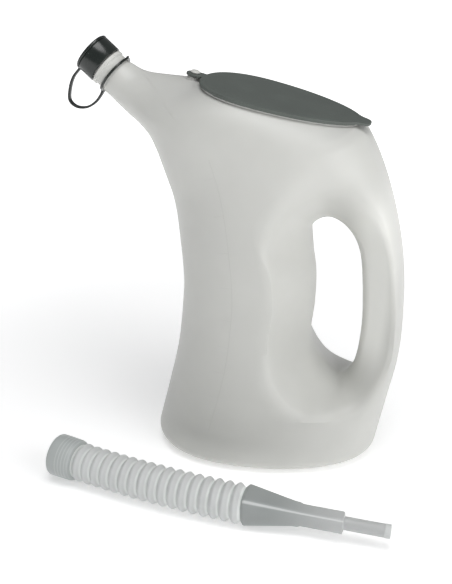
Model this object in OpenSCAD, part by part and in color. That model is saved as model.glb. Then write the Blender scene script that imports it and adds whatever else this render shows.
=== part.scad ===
// Fluid measuring jug: blown body with a side spout and a pinched handle, soft lid on
// a stud, screw cap on a tether, and a loose flexible pouring spout.
// Origin: middle of the base on the floor. +X is the handle side, +Z is up.

/* [Base] */
// Length of the base, from the spout side to the handle side
base_l = 184; // [172:1:196]
// Width of the base
base_w = 131; // [119:1:143]
// Radius of the round bottom edge
base_edge = 12; // [8:0.5:15]
// Wall thickness of the blown body
wall = 2; // [1.4:0.1:2.8]

/* [Body] */
// Height of the waist, where both outlines stand upright
waist_z = 135; // [129:1:141]
// Distance of the waist's spout side from the axis
waist_front = 64.5; // [60:0.5:70]
// Distance of the waist's handle side from the axis
waist_back = 107; // [102:0.5:112]
// Width of the body at the waist
waist_w = 123; // [112:1:134]
// Width of the body below the shoulder
shoulder_w = 108; // [104:1:118]
// Distance from the axis to the centre that the upper body bends about
bend_r = 254.5; // [248:0.5:262]
// Angle through which the upper body bends towards the spout
bend_a = 50; // [47:0.5:53]

/* [Handle] */
// How far the grip opening is moved towards the handle
grip_x = 0; // [-3:0.5:3]
// How far the grip opening is moved up
grip_z = 0; // [-6:1:6]
// Depth of the rounded lip at the grip opening, from the middle to each side
lip_depth = 9; // [6:0.5:12]
// Width of the rounded lip
lip_width = 7; // [4:0.5:9]

/* [Spout] */
// Distance of the spout's middle line from the bend centre
spout_r = 206.5; // [202:0.5:211]
// Outside diameter of the spout where it meets the neck
spout_d = 29; // [28.8:0.1:30]
// Bore of the neck
neck_bore = 24; // [22:0.5:24.4]
// Outside diameter of the neck
neck_d = 28.4; // [27.8:0.1:28.4]
// Length of the plain neck below the cap
neck_plain = 12; // [10:0.5:14]
// Diameter of the bead below the cap
bead_d = 30.2; // [29.6:0.1:31]
// Root diameter of the screw thread on the neck
thread_d = 26; // [25.6:0.1:26.6]
// Length of the threaded end of the neck
thread_l = 12.6; // [11.6:0.2:14]

/* [Opening and lid] */
// Distance of the opening's middle from the axis
rim_x = 6; // [3:0.5:9]
// Height of the opening's middle, at the foot of its collar
rim_z = 282; // [278:1:286]
// Slope of the opening down towards the handle
rim_tilt = 11.6; // [10:0.2:13]
// Length of the opening in front of its widest place
rim_front = 43; // [40:0.5:45]
// Length of the opening behind its widest place
rim_back = 74; // [71:0.5:76]
// Distance of the widest place in front of the opening's middle
rim_lead = 15; // [13:0.5:17]
// Width of the opening's collar
rim_w = 80; // [76:0.5:84]
// Height of the collar above the shoulder
rim_h = 1.8; // [1.4:0.2:2.8]
// Thickness of the collar
rim_land = 2.8; // [2.2:0.1:3.4]
// Thickness of the lid's plate
lid_t = 1.8; // [1.5:0.1:2.4]
// How far the lid reaches past the collar
lid_over = 2; // [1.6:0.1:2.6]
// Length of the lid's finger tab
tab_l = 7; // [5:0.5:11]
// Width of the lid's finger tab
tab_w = 17; // [12:1:22]
// Distance of the stud from the lid's edge
stud_off = 7; // [6.5:0.25:8]
// Diameter of the stud's shank
stud_d = 4.6; // [4:0.1:5.2]
// Diameter of the stud's head
stud_head = 7.4; // [7:0.1:8.2]
// Thickness of the ear that holds the lid on the stud
ear_t = 1.8; // [1.5:0.1:2.1]

/* [Cap and tether] */
// Outside diameter of the cap
cap_d = 31; // [30.6:0.1:32.4]
// Bore of the cap
cap_bore = 28.2; // [28:0.1:28.6]
// Diameter of the cap's seat for the tether
seat_d = 28.6; // [28:0.1:29]
// Thickness of the tether's rings
ring_t = 1.8; // [1.4:0.1:2.2]
// Outside diameter of the tether's neck ring
ring_d = 32.4; // [31.6:0.1:33.2]
// Width of the tether's strap
strap_w = 4; // [3:0.25:5]
// Thickness of the tether's strap
strap_t = 1.8; // [1.5:0.1:2]
// Reach of the strap's loop from the spout's middle line
strap_reach = 42.6; // [40:0.4:46]

/* [Flexible spout] */
// Outside diameter of the collar
collar_d = 33; // [32:0.2:34]
// Bore of the collar
collar_bore = 28.8; // [28.4:0.1:29.6]
// Length of the collar
collar_l = 20.4; // [18:0.2:22]
// Number of rings in the bellows
ring_n = 17; // [14:1:19]
// Distance from ring to ring
ring_pitch = 8; // [7.4:0.1:8.6]
// Diameter over the bellows' rings
crest_d = 30; // [29:0.2:31]
// Diameter of the bellows' grooves
groove_d = 22.8; // [22:0.2:24.4]
// Wall thickness of the bellows
bellows_wall = 1; // [0.8:0.1:1.3]
// Side of the square reducer's wide end
reducer_w = 24.6; // [23.6:0.2:26]
// Length of the reducer's taper
reducer_l = 41; // [36:1:46]
// Side of the square nozzle behind the tip
nozzle_w = 13; // [12.6:0.2:15]
// Length of the square nozzle
nozzle_l = 30; // [25:1:35]
// Outside diameter of the tip
tip_d = 9.8; // [8.8:0.2:10.8]
// Bore of the tip
tip_bore = 7; // [6:0.2:7.6]
// Length of the tip
tip_l = 33; // [28:1:38]
// Angle through which the bellows bend on the floor
bellows_a = 10.3; // [6.3:0.2:13.9]

/* [Hidden] */
$fn = 56;

// Gaps between pieces
fit_gap = 0.2;
soft_gap = 0.3;

// Radius at which the bend's angles are counted as heights
bend_scale = 200;

// Rows of the shell's mesh: in the hollow round the grip, and from there to the outline
hollow_steps = 6;
side_steps = 9;
inner_hollow_steps = 4;
inner_side_steps = 6;

// Heights of the foot's and the belly's sections
heel_z = 0.37 * waist_z;
belly_z = 0.68 * waist_z;

// Colours
milky = [0.86, 0.87, 0.85];
grey = [0.38, 0.4, 0.39];
dark_grey = [0.27, 0.29, 0.28];
frosted = [0.8, 0.82, 0.81];

// General functions

// Point at a distance and an angle from the bend centre
function polar(r, a) = [r * cos(a) - bend_r, waist_z + r * sin(a)];

// Height for which an angle about the bend centre stands, in the list of stations
function station(a) = waist_z + a * PI / 180 * bend_scale;

// Slope of a curve at one of its knots, from the knots beside it
function slope(k, c, i) =
    let (a = max(i - 1, 0), b = min(i + 1, len(k) - 1))
    (k[b][c] - k[a][c]) / (k[b][0] - k[a][0]);

// Smooth curve through knots [station, value, value ...], column c, at station s
function curve(k, c, s, i = 0) =
    i < len(k) - 2 && s > k[i + 1][0] ? curve(k, c, s, i + 1) :
    let (
        h = k[i + 1][0] - k[i][0],
        t = max(0, min(1, (s - k[i][0]) / h)),
        t2 = t * t,
        t3 = t2 * t)
    (2 * t3 - 3 * t2 + 1) * k[i][c] + (t3 - 2 * t2 + t) * h * slope(k, c, i)
        + (3 * t2 - 2 * t3) * k[i + 1][c] + (t3 - t2) * h * slope(k, c, i + 1);

// Smooth closed curve through knots, at position t counted in knots
function loop(k, t) =
    let (
        n = len(k),
        i = floor(t),
        f = t - i,
        a = k[(i + n - 1) % n],
        b = k[i % n],
        c = k[(i + 1) % n],
        d = k[(i + 2) % n])
    0.5 * (2 * b + (c - a) * f + (2 * a - 5 * b + 4 * c - d) * f * f
        + (3 * b - a - 3 * c + d) * f * f * f);

// Smaller of two values, rounded over a width k
function soft_min(a, b, k) =
    let (h = max(k - abs(a - b), 0) / k)
    min(a, b) - h * h * k / 4;

// Superellipse: half height at u, which runs from -1 to 1
function bow(u, p) = pow(max(0, 1 - pow(min(1, abs(u)), p)), 1 / p);

// Opening of the lid: an egg, widest in front of its middle
function egg(a, inset) =
    let (
        u = a + rim_lead,
        w = rim_w / 2 - inset)
    u < 0 ? w * bow(u / (rim_front - inset), 2.3) : w * bow(u / (rim_back - inset), 1.9);
function egg_end(inset) = rim_back - rim_lead - inset;
function egg_start(inset) = inset - rim_front - rim_lead;
function egg_at(u, inset) =
    let (m = (egg_end(inset) + egg_start(inset)) / 2, h = (egg_end(inset) - egg_start(inset)) / 2)
    m + h * cos(180 * u);
function egg_points(inset, n = 28) = concat(
    [for (i = [0:n - 1]) let (a = egg_at(i / n, inset)) [a, -egg(a, inset)]],
    [for (i = [0:n - 1]) let (a = egg_at(1 - i / n, inset)) [a, egg(a, inset)]]);

// Plane of the opening: a point a along it, and its distance from the bend centre
function rim_point(a) = [rim_x + a * cos(rim_tilt), rim_z - a * sin(rim_tilt)];
function rim_angle(a) =
    let (p = rim_point(a)) atan2(p[1] - waist_z, p[0] + bend_r);
rim_off = (rim_x + bend_r) * sin(rim_tilt) + (rim_z - waist_z) * cos(rim_tilt);
function rim_dist(ang) = rim_off / sin(ang + rim_tilt);
function rim_along(ang) = (polar(rim_dist(ang), ang)[0] - rim_x) / cos(rim_tilt);

// Outlines of the body, as distances from the bend centre. The skin is set in by w,
// and the opening by inset
front_r = bend_r - waist_front;
back_r = bend_r + waist_back;
front_knots = [
    [0, bend_r - base_l / 2],
    [heel_z, front_r - 14],
    [belly_z, front_r - 4.5],
    [waist_z, front_r],
    [station(12), front_r + 2],
    [station(24), front_r + 6.8],
    [station(36), front_r + 12.3],
    [station(43), 0.26 * (front_r + 12.3) + 0.74 * (spout_r - spout_d / 2)],
    [station(bend_a), spout_r - spout_d / 2]];
function back_knots(w, inset) = [
    [0, bend_r + base_l / 2 - w],
    [heel_z, back_r - 6.5 - w],
    [belly_z, back_r - w],
    [waist_z, back_r - w],
    [station(12), back_r - 4 - w],
    [station(rim_angle(egg_end(inset))) - 5, back_r - 10.5 - w],
    [station(rim_angle(egg_end(inset))), rim_dist(rim_angle(egg_end(inset)))]];
function horn_knots(w, inset) =
    let (
        a = rim_angle(egg_start(inset)),
        r = rim_dist(a),
        top = spout_r + spout_d / 2 - w)
    [[station(a), r],
    [station(a + 0.435 * (bend_a - a)), top + 0.408 * (r - top - w)],
    [station(a + 0.718 * (bend_a - a)), top + 0.106 * (r - top - w)],
    [station(bend_a), top]];

// Sections: half width, narrowing towards the handle, and squareness
section_knots = [
    [0, base_w / 2, 0.2, 2.2],
    [heel_z, base_w / 2 - 1, 0.2, 2.4],
    [waist_z, waist_w / 2, 0.2, 2.4],
    [station(12), waist_w / 2 - 1.5, 0.14, 2.4],
    [station(22), shoulder_w / 2 + 3, 0, 2.4],
    [station(30), shoulder_w / 2, 0, 2.4],
    [station(36), shoulder_w / 2 - 9, 0, 2.2],
    [station(42), shoulder_w / 2 - 27, 0, 2],
    [station(46.5), spout_d / 2 + 4, 0, 2],
    [station(bend_a), spout_d / 2, 0, 2]];

// Distance of the body's back from the bend centre, at an angle or height
function back_at(s, w, inset) =
    let (
        a = (s - waist_z) * 180 / PI / bend_scale,
        low = curve(front_knots, 1, s) + w,
        half = curve(section_knots, 1, s) - w,
        p = curve(section_knots, 3, s),
        share = min(1, egg(rim_along(max(a, 1)), inset) / half),
        xi = pow(1 - pow(share, p), 1 / p))
    a <= rim_angle(egg_end(inset)) ? curve(back_knots(w, inset), 1, s) :
    a >= rim_angle(egg_start(inset)) ? curve(horn_knots(w, inset), 1, s) :
    low + 2 * (rim_dist(a) - low) / (1 + xi);

// Inset of the skin's outline in the round bottom edge
function edge_cut(z, w) =
    let (e = base_edge - w, g = max(0, e - (z - w)))
    e - sqrt(max(0, e * e - g * g));

// Bent coordinates of a point of the middle plane: distance and station, and back again
function bent(p) = p[1] > waist_z ?
    [norm([p[0] + bend_r, p[1] - waist_z]), station(atan2(p[1] - waist_z, p[0] + bend_r))] :
    [p[0] + bend_r, p[1]];
function unbent(q) = q[1] > waist_z ?
    polar(q[0], (q[1] - waist_z) * 180 / PI / bend_scale) : [q[0] - bend_r, q[1]];

// Half width of the skin over a point of the middle plane
function skin(p, w, inset) =
    let (
        q = bent(p),
        cut = edge_cut(p[1], w),
        low = curve(front_knots, 1, q[1]) + w + cut,
        high = back_at(q[1], w, inset) - cut,
        u = (2 * q[0] - low - high) / (high - low))
    (curve(section_knots, 1, q[1]) - w - cut) * (1 - curve(section_knots, 2, q[1]) * u)
        * bow(u, curve(section_knots, 3, q[1]));

// Grip opening in the middle plane, from the handle's middle round over its top
grip = [[76, 138], [72, 173], [62, 192], [47, 199.5], [34, 190.5], [35.5, 171], [38.5, 150],
    [38.5, 126], [36.5, 98], [43, 83], [52, 73], [62.5, 67], [72.5, 80], [76.5, 108]];
// Crease where the hollow round the grip meets the side, and how softly it does
crease = [[103, 142, 5], [95, 192, 8], [78, 222, 20], [52, 233, 26], [26, 218, 18],
    [13.5, 190, 7], [18, 167, 5], [19.5, 140, 5], [17, 112, 6], [21, 82, 9], [39, 58, 13],
    [65, 53.5, 16], [88, 60, 12], [102.5, 90, 7]];
grip_move = [grip_x, grip_z];
crease_move = [grip_x, grip_z, 0];

// Outline of the skin in the middle plane. It starts on the handle and runs over the
// opening (2 to 4), the spout's mouth (5 to 6) and the base (10 to 12)
function back_point(a, w, inset) = polar(back_at(station(a), w, inset), a);
function low_point(z, w, inset, back) =
    let (cut = edge_cut(z, w))
    [back ? back_at(z, w, inset) - cut - bend_r : curve(front_knots, 1, z) + w + cut - bend_r, z];
function outline(t, w, inset) =
    let (
        first = rim_angle(egg_end(inset)),
        last = rim_angle(egg_start(inset)),
        foot_a = low_point(w, w, inset, false)[0],
        foot_b = low_point(w, w, inset, true)[0])
    t <= 2 ? back_point(first * t / 2, w, inset) :
    t <= 4 ? rim_point(egg_at((t - 2) / 2, inset)) :
    t <= 5 ? back_point(last + (bend_a - last) * (t - 4), w, inset) :
    t <= 6 ? polar(spout_r + (spout_d / 2 - w) * cos(180 * (t - 5)), bend_a) :
    t <= 8 ? let (a = bend_a * (8 - t) / 2) polar(curve(front_knots, 1, station(a)) + w, a) :
    t <= 9 ? low_point(waist_z - (waist_z - heel_z) * (t - 8), w, inset, false) :
    t <= 10 ? low_point(w + (heel_z - w) * pow(10 - t, 1.7), w, inset, false) :
    t <= 12 ? [(foot_a + foot_b) / 2 - (foot_b - foot_a) / 2 * cos(90 * (t - 10)), w] :
    t <= 13 ? low_point(w + (heel_z - w) * pow(t - 12, 1.7), w, inset, true) :
    low_point(heel_z + (waist_z - heel_z) * (t - 13), w, inset, true);
function closes(t) = t <= 2 || (t >= 4 && t <= 5) || (t >= 6 && t <= 10) || t >= 12;

// Columns of the skin's mesh, as places along the outline
steps = [5, 5, 9, 9, 6, 10, 6, 5, 5, 5, 8, 8, 5, 5];
columns = [for (i = [0:len(steps) - 1]) for (j = [0:steps[i] - 1]) i + j / steps[i]];
column_n = len(columns);

// One column of half a skin, from the grip opening to the outline
function column(t, w, inset, hollow_n, side_n) =
    let (
        c = loop(crease, t) + crease_move,
        edge = [c[0], c[1]],
        hole = loop(grip, t) + grip_move,
        span = norm(edge - hole),
        start = hole + (edge - hole) * w / span,
        depth = skin(edge, 0, 0) - lip_depth,
        rim = outline(t, w, inset))
    concat(
        [for (j = [0:hollow_n - 1])
            let (
                g = pow(j / hollow_n, 1.6),
                p = start + (edge - start) * g,
                d = (span - w) * g,
                lip = sqrt(1 - pow(1 - min(1, d / lip_width), 2)) * (lip_depth - w / 2))
            [p[0], j == 0 ? 0 : soft_min(skin(p, w, inset),
                lip + depth * pow(d / span, 1.15), c[2]), p[1]]],
        [for (j = [0:side_n])
            let (
                g = 1 - pow(1 - j / side_n, 1.8),
                q = bent(edge) + (bent(rim) - bent(edge)) * g,
                top = back_at(q[1], w, inset) - spout_d / 2 * (1 - g),
                p = unbent(t > 4 && t < 6 && j < side_n ? [min(q[0], top), q[1]] : q),
                ramp = lip_depth - w / 2 + depth
                    * (pow((span - w) / span, 1.15) + 1.15 * norm(p - edge) / span),
                y = t >= 2 && t <= 4 && j == side_n ?
                    egg(egg_at((t - 2) / 2, inset), inset) : skin(p, w, inset))
            [p[0], j == side_n && closes(t) ? 0 : soft_min(y, ramp, c[2]), p[1]]]);

// Points of both halves of a skin: near side first
function skin_points(w, inset, hollow_n, side_n) =
    let (half = [for (t = columns) each column(t, w, inset, hollow_n, side_n)])
    concat([for (p = half) [p[0], -p[1], p[2]]], half);

// Index of a point: far is 0 on the near side and 1 on the far side
function point_id(start, rows, far, i, j) =
    let (k = i % column_n, shared = j == 0 || (j == rows - 1 && closes(columns[k])))
    start + (far == 1 && !shared ? column_n * rows : 0) + k * rows + j;

// Two triangles for each square between two rows of indices
function strip(a, b, turn = false) = [for (i = [0:len(a) - 2])
    each turn ? [[a[i], b[i + 1], a[i + 1]], [a[i], b[i], b[i + 1]]] :
        [[a[i], a[i + 1], b[i + 1]], [a[i], b[i + 1], b[i]]]];
function skin_faces(start, rows, turn) = [for (far = [0, 1]) for (j = [0:rows - 2])
    each strip(
        [for (i = [0:column_n]) point_id(start, rows, far, i, j)],
        [for (i = [0:column_n]) point_id(start, rows, far, i, j + 1)],
        far == 1 ? !turn : turn)];

// Index ring along an open stretch of the outline, from column a to column b and back
function edge_ring(start, rows, a, b) = concat(
    [for (i = [a:b]) point_id(start, rows, 0, i, rows - 1)],
    [for (i = [b - 1:-1:a + 1]) point_id(start, rows, 1, i, rows - 1)],
    [point_id(start, rows, 0, a, rows - 1)]);
function column_at(t) = search(t, columns)[0];
function lifted(points, ring) = [for (i = ring)
    points[i] + rim_h * [sin(rim_tilt), 0, cos(rim_tilt)]];

// Blown shell: both skins, joined round the opening's collar and at the spout's mouth
module shell() {
    outer_rows = hollow_steps + side_steps + 1;
    inner_rows = inner_hollow_steps + inner_side_steps + 1;
    outer = skin_points(0, 0, hollow_steps, side_steps);
    inner = skin_points(wall, rim_land, inner_hollow_steps, inner_side_steps);
    inner_start = len(outer);
    rim_a = column_at(2);
    rim_b = column_at(4);
    outer_rim = edge_ring(0, outer_rows, rim_a, rim_b);
    inner_rim = edge_ring(inner_start, inner_rows, rim_a, rim_b);
    skins = concat(outer, inner);
    outer_top = len(skins);
    inner_top = outer_top + len(outer_rim) - 1;
    points = concat(
        skins,
        [for (i = [0:len(outer_rim) - 2]) lifted(skins, outer_rim)[i]],
        [for (i = [0:len(inner_rim) - 2]) lifted(skins, inner_rim)[i]]);
    top_n = len(outer_rim) - 1;
    outer_collar = [for (i = [0:top_n]) outer_top + i % top_n];
    inner_collar = [for (i = [0:top_n]) inner_top + i % top_n];
    mouth_a = column_at(5);
    mouth_b = column_at(6);
    foot_a = column_at(10);
    foot_b = column_at(12);
    faces = concat(
        skin_faces(0, outer_rows, false),
        skin_faces(inner_start, inner_rows, true),
        strip(outer_rim, outer_collar, false),
        strip(outer_collar, inner_collar, false),
        strip(inner_collar, inner_rim, false),
        strip(
            edge_ring(0, outer_rows, mouth_a, mouth_b),
            edge_ring(inner_start, inner_rows, mouth_a, mouth_b), false),
        strip(
            [for (i = [foot_a:foot_b]) point_id(0, outer_rows, 0, i, outer_rows - 1)],
            [for (i = [foot_a:foot_b]) point_id(0, outer_rows, 1, i, outer_rows - 1)], false),
        strip(
            [for (i = [foot_a:foot_b]) point_id(inner_start, inner_rows, 0, i, inner_rows - 1)],
            [for (i = [foot_a:foot_b]) point_id(inner_start, inner_rows, 1, i, inner_rows - 1)],
            true));
    polyhedron(points, [for (f = faces) if (f[0] != f[1] && f[1] != f[2] && f[2] != f[0]) f],
        convexity = 12);
}

// Neck, in the spout's frame: local Z runs out along the spout
neck_end = neck_plain + thread_l;
module spout_frame() {
    mouth = polar(spout_r, bend_a);
    translate([mouth[0], 0, mouth[1]]) rotate([0, -bend_a, 0]) children();
}
module neck() {
    bore = neck_bore / 2;
    rotate_extrude() polygon([
        [bore, -2],
        [neck_d / 2, -2],
        [neck_d / 2, neck_plain - 4],
        [bead_d / 2, neck_plain - 3.2],
        [bead_d / 2, neck_plain - 0.8],
        [neck_d / 2 - 0.6, neck_plain - 0.2],
        [thread_d / 2, neck_plain + 0.4],
        [thread_d / 2, neck_end - 0.6],
        [thread_d / 2 - 0.6, neck_end],
        [bore, neck_end]]);
}

// Lid's frame: local X runs along the opening towards the handle, local Z out of it
lid_foot = rim_h + soft_gap;
lid_top = lid_foot + lid_t;
hinge_a = egg_start(0) - lid_over - fit_gap;
stud_a = egg_start(0) - lid_over - stud_off;
module lid_frame() {
    translate([rim_x, 0, rim_z]) rotate([0, rim_tilt, 0]) children();
}

// Stud for the lid's ear: a pad that rises from the shoulder, a shank and a round head
module stud() {
    seat = lid_top - ear_t - soft_gap;
    head = lid_top + soft_gap;
    translate([stud_a, 0, 0]) rotate_extrude() polygon([
        [0, -3.2],
        [stud_head / 2 + 2.6, -3.2],
        [stud_head / 2 + 1.6, seat - 0.6],
        [stud_head / 2 + 1, seat],
        [stud_d / 2, seat],
        [stud_d / 2, head],
        [stud_head / 2, head],
        [stud_head / 2, head + 0.7],
        [stud_head / 2 - 1, head + 1.6],
        [stud_d / 2 - 1, head + 2],
        [0, head + 2]]);
}

// Lid, in its frame: plate with a finger tab, plug inside the collar, skirt round its
// outside. The skirt is left out near the hinge, so that the lid can swing
module lid_tab() {
    a = egg_end(0) + lid_over;
    polygon([for (i = [-12:12]) let (u = i / 12)
        [a - 4.8 + (tab_l + 4.8) * bow(u, 3.4), u * tab_w / 2]]);
}
module lid_shape() {
    skirt = 1.3;
    plug = rim_land + 0.4;
    translate([0, 0, lid_foot]) linear_extrude(lid_t) {
        polygon(egg_points(-lid_over));
        lid_tab();
    }
    translate([0, 0, lid_foot - 0.8]) linear_extrude(1.4) difference() {
        polygon(egg_points(-lid_over));
        polygon(egg_points(skirt - lid_over));
        translate([hinge_a - 20, -rim_w]) square([24 + 20, 2 * rim_w]);
    }
    translate([0, 0, fit_gap]) linear_extrude(lid_foot + 0.6 - fit_gap) difference() {
        polygon(egg_points(plug));
        polygon(egg_points(plug + 1.4));
    }
}

// Ear of the lid: it stays on the stud, and the lid swings at its edge
module ear_shape() {
    translate([0, 0, lid_top - ear_t]) linear_extrude(ear_t) difference() {
        union() {
            translate([stud_a, 0]) circle(stud_off - 0.4);
            translate([stud_a, 0.6 - stud_off]) square([hinge_a - fit_gap - stud_a,
                2 * stud_off - 1.2]);
        }
        translate([stud_a, 0]) circle(stud_d / 2 + soft_gap);
    }
}

// Cap, in the spout's frame. The ring of the tether turns in the groove at its end
cap_foot = neck_plain + soft_gap;
cap_roof = neck_end + fit_gap;
cap_seat = cap_roof + 0.6;
cap_end = cap_seat + ring_t + 2 * soft_gap + 0.4;
module cap_shape() {
    plug = neck_bore / 2 - fit_gap;
    rotate_extrude() polygon([
        [0, cap_roof],
        [plug - 1.2, cap_roof],
        [plug - 1.2, cap_roof - 3],
        [plug - 0.3, cap_roof - 3],
        [plug, cap_roof - 2.4],
        [plug, cap_roof],
        [cap_bore / 2, cap_roof],
        [cap_bore / 2, cap_foot],
        [cap_d / 2, cap_foot],
        [cap_d / 2, cap_seat - 0.5],
        [cap_d / 2 - 0.5, cap_seat],
        [seat_d / 2, cap_seat],
        [seat_d / 2, cap_end - 0.4],
        [seat_d / 2 + 0.5, cap_end - 0.4],
        [seat_d / 2 + 0.5, cap_end - 0.2],
        [seat_d / 2, cap_end],
        [0, cap_end]]);
}

// Tether, in the spout's frame: a ring round the neck, a looped strap and a ring on the cap
tether_foot = 0.13 * neck_plain;
tether_in = neck_d / 2 + fit_gap;
cap_ring_z = cap_seat + soft_gap;
cap_ring_in = seat_d / 2 + soft_gap;
cap_ring_out = cap_d / 2 + 0.2;
// Place of the strap, as a share of its reach past the neck ring and of its rise
function strap_knot(t, out, up) = [t, -ring_d / 2 - out * (strap_reach - ring_d / 2),
    tether_foot + up * (cap_ring_z - tether_foot)];
tether_knots = [
    [0, 0.8 - ring_d / 2, tether_foot + ring_t / 2],
    strap_knot(1, 0.22, 0),
    strap_knot(2, 0.49, 0.01),
    strap_knot(3, 0.79, 0.14),
    strap_knot(4, 1, 0.41),
    strap_knot(5, 1, 0.71),
    strap_knot(6, 0.735, 0.917),
    strap_knot(7, 0.37, 1 + (ring_t / 2 + 0.3) / (cap_ring_z - tether_foot)),
    [8, 0.6 - cap_ring_out, cap_ring_z + ring_t / 2]];
function strap_at(t) = [curve(tether_knots, 1, t), curve(tether_knots, 2, t)];
function strap_side(t) =
    let (d = strap_at(min(8, t + 0.05)) - strap_at(max(0, t - 0.05)))
    [-d[1], d[0]] / norm(d);
module ring(inside, outside, foot, high) {
    translate([0, 0, foot]) linear_extrude(high) difference() {
        circle(outside);
        circle(inside);
    }
}
module tether_shape() {
    n = 40;
    path = concat(
        [for (i = [0:n]) strap_at(8 * i / n) + strap_side(8 * i / n) * strap_t / 2],
        [for (i = [n:-1:0]) strap_at(8 * i / n) - strap_side(8 * i / n) * strap_t / 2]);
    ring(tether_in, ring_d / 2, tether_foot, ring_t);
    ring(cap_ring_in, cap_ring_out, cap_ring_z, ring_t);
    rotate([90, 0, 0]) linear_extrude(strap_w, center = true) polygon(path);
    // Small knob on the far side of the neck ring, and the thicker root of the strap
    translate([ring_d / 2 - 0.5, -1.5, tether_foot]) cube([1.7, 3, ring_t]);
    translate([-ring_d / 2 - 3, -strap_w / 2 - 1, tether_foot]) cube([3.6, strap_w + 2, ring_t]);
}

// Path of the flexible spout on the floor: place and heading at a length s
hose_start = [-139.1, -108.7];
hose_turn = -8.8;
bellows_l = ring_n * ring_pitch + 3.6;
bend_len = bellows_l * 180 / PI / bellows_a;
hose_end = collar_l + bellows_l;
nozzle_at = hose_end + reducer_l;
tip_at = nozzle_at + nozzle_l;
hose_slope = (collar_d - crest_d) / 2 / bellows_l;
function heading(s) =
    hose_turn + bellows_a * max(0, min(1, (s - collar_l) / bellows_l));
function ahead(a) = [cos(a), sin(a)];
function hose_at(s) =
    let (
        a = heading(s),
        first = hose_start + ahead(hose_turn) * min(s, collar_l),
        arc = bend_len * [sin(a) - sin(hose_turn), cos(hose_turn) - cos(a)],
        last = ahead(a) * max(0, s - hose_end),
        p = first + arc + last)
    [p[0], p[1], collar_d / 2 - (max(collar_l, min(s, hose_end)) - collar_l) * hose_slope];

// Section of the flexible spout: length, half width and squareness
swell = 0.67 * crest_d / 2 + 0.33 * groove_d / 2;
function bellows_rows(w) = [for (i = [0:ring_n - 1])
    let (s = collar_l + 0.6 + i * ring_pitch)
    each [
        [s, groove_d / 2 - w, 2],
        [s + 0.25 * ring_pitch, swell - w, 2],
        [s + 0.5 * ring_pitch, crest_d / 2 - w, 2],
        [s + 0.75 * ring_pitch, swell - w, 2]]];
hose_outside = concat(
    [[collar_l - 0.8, groove_d / 2 + 1, 2]],
    bellows_rows(0),
    [[hose_end - 3, groove_d / 2, 2],
    [hose_end - 0.4, reducer_w / 2 - 0.3, 4.5],
    [hose_end, reducer_w / 2, 5],
    [hose_end + 0.5 * reducer_l, (reducer_w + nozzle_w) / 4, 5],
    [nozzle_at, nozzle_w / 2, 5],
    [tip_at, nozzle_w / 2, 5],
    [tip_at, tip_d / 2 - 0.6, 2]]);
hose_inside = concat(
    [[collar_l - 0.8, groove_d / 2 - bellows_wall, 2]],
    bellows_rows(bellows_wall),
    [[hose_end - 3, groove_d / 2 - bellows_wall, 2],
    [hose_end + 1, reducer_w / 2 - 1.4, 5],
    [hose_end + 0.5 * reducer_l, (reducer_w + nozzle_w) / 4 - 1.3, 5],
    [nozzle_at, nozzle_w / 2 - 1.3, 5],
    [tip_at - 1.5, nozzle_w / 2 - 1.3, 5],
    [tip_at - 1.5, tip_d / 2 - 0.6, 2]]);
hose_sides = 22;
function reversed(v) = [for (i = [len(v) - 1:-1:0]) v[i]];
function hose_ring(row) =
    let (c = hose_at(row[0]), side = ahead(heading(row[0]) + 90))
    [for (i = [0:hose_sides - 1])
        let (
            a = 360 * (i + 0.5) / hose_sides,
            u = cos(a),
            v = sin(a),
            r = row[1] / pow(pow(abs(u), row[2]) + pow(abs(v), row[2]), 1 / row[2]))
        c + r * [side[0] * u, side[1] * u, v]];
module along_hose(s) {
    translate(hose_at(s)) rotate([0, 90, 0]) rotate([-heading(s), 0, 0]) children();
}
module hose_shape() {
    rows = concat(hose_outside, reversed(hose_inside));
    n = len(rows);
    points = [for (row = rows) each hose_ring(row)];
    faces = [for (i = [0:n - 1]) for (j = [0:hose_sides - 1])
        let (
            k = (i + 1) % n,
            l = (j + 1) % hose_sides,
            a = i * hose_sides + j,
            b = i * hose_sides + l,
            c = k * hose_sides + l,
            d = k * hose_sides + j)
        each [[a, c, b], [a, d, c]]];
    polyhedron(points, faces, convexity = 20);
    // Collar that is pushed on the jug's neck, and the tip
    along_hose(0) rotate_extrude() polygon([
        [collar_bore / 2, 0.4],
        [collar_bore / 2 + 0.4, 0],
        [collar_d / 2 - 0.6, 0],
        [collar_d / 2, 0.6],
        [collar_d / 2, collar_l - 0.8],
        [collar_d / 2 - 0.8, collar_l],
        [groove_d / 2 - bellows_wall - 0.4, collar_l],
        [groove_d / 2 - bellows_wall - 0.4, collar_l - 1.6],
        [collar_bore / 2, collar_l - 1.6]]);
    along_hose(tip_at - 2.2) rotate_extrude() polygon([
        [tip_bore / 2, 0],
        [tip_d / 2, 0],
        [tip_d / 2, tip_l + 1.7],
        [tip_d / 2 - 0.5, tip_l + 2.2],
        [tip_bore / 2, tip_l + 2.2]]);
}

// Blown body: the shell with its neck and the stud for the lid
module jug_body() {
    color(milky) {
        shell();
        spout_frame() neck();
        lid_frame() stud();
    }
}

module lid() {
    color(grey) lid_frame() lid_shape();
}

module lid_ear() {
    color(grey) lid_frame() ear_shape();
}

module spout_cap() {
    color(dark_grey) spout_frame() cap_shape();
}

module cap_tether() {
    color(dark_grey) spout_frame() tether_shape();
}

module flexible_spout() {
    color(frosted) hose_shape();
}

jug_body();
lid();
lid_ear();
spout_cap();
cap_tether();
flexible_spout();
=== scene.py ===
"""Looks of the measuring jug: blown body, soft lid, screw cap on a tether and flexible spout.

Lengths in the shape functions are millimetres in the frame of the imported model. A mesh is
written in metres. The upper body bends about a centre on the spout's side, so many places
are given as a distance from that centre and an angle about it.
"""

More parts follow.
